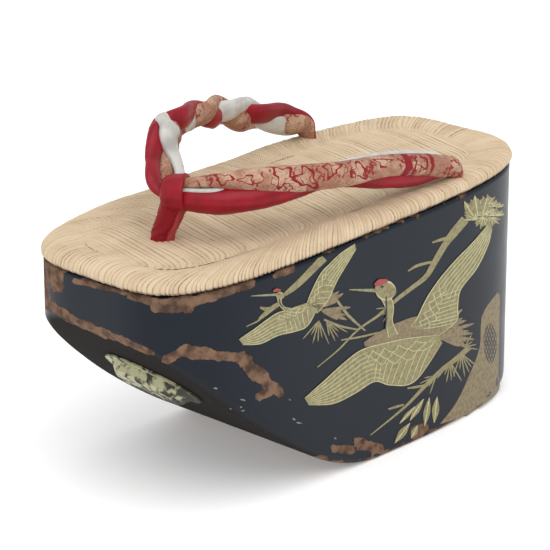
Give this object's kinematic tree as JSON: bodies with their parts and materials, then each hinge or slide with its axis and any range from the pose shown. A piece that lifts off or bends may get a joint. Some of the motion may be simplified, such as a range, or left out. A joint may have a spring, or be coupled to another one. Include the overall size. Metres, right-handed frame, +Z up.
{
  "type": "okobo sandal",
  "caption": "Tall lacquered wooden okobo sandal with a slanting toe, a rush mat top and a plaited thong of red, white and brocade tubes",
  "frame": {"origin": "on the floor, under the middle of the sandal's length and width", "axes": "+X to the toe, +Y to the wearer's left, +Z up"},
  "size_m": [0.22, 0.0988, 0.1453],
  "materials": {
    "lacquer": "blue-black lacquer on wood, painted with cranes and pine, worn to brown at the edges",
    "rush": "plaited rush, dry and matte",
    "strap_cloth": "satin tubes in red, silver white and brocade",
    "loop_cloth": "red satin",
    "plate_metal": "tarnished sheet metal"
  },
  "bodies": {
    "root": {"platform": "lacquer", "rush_mat": "rush", "strap_upper": "strap_cloth", "toe_loop": "loop_cloth", "front_plate": "plate_metal"}
  },
  "joints": []
}
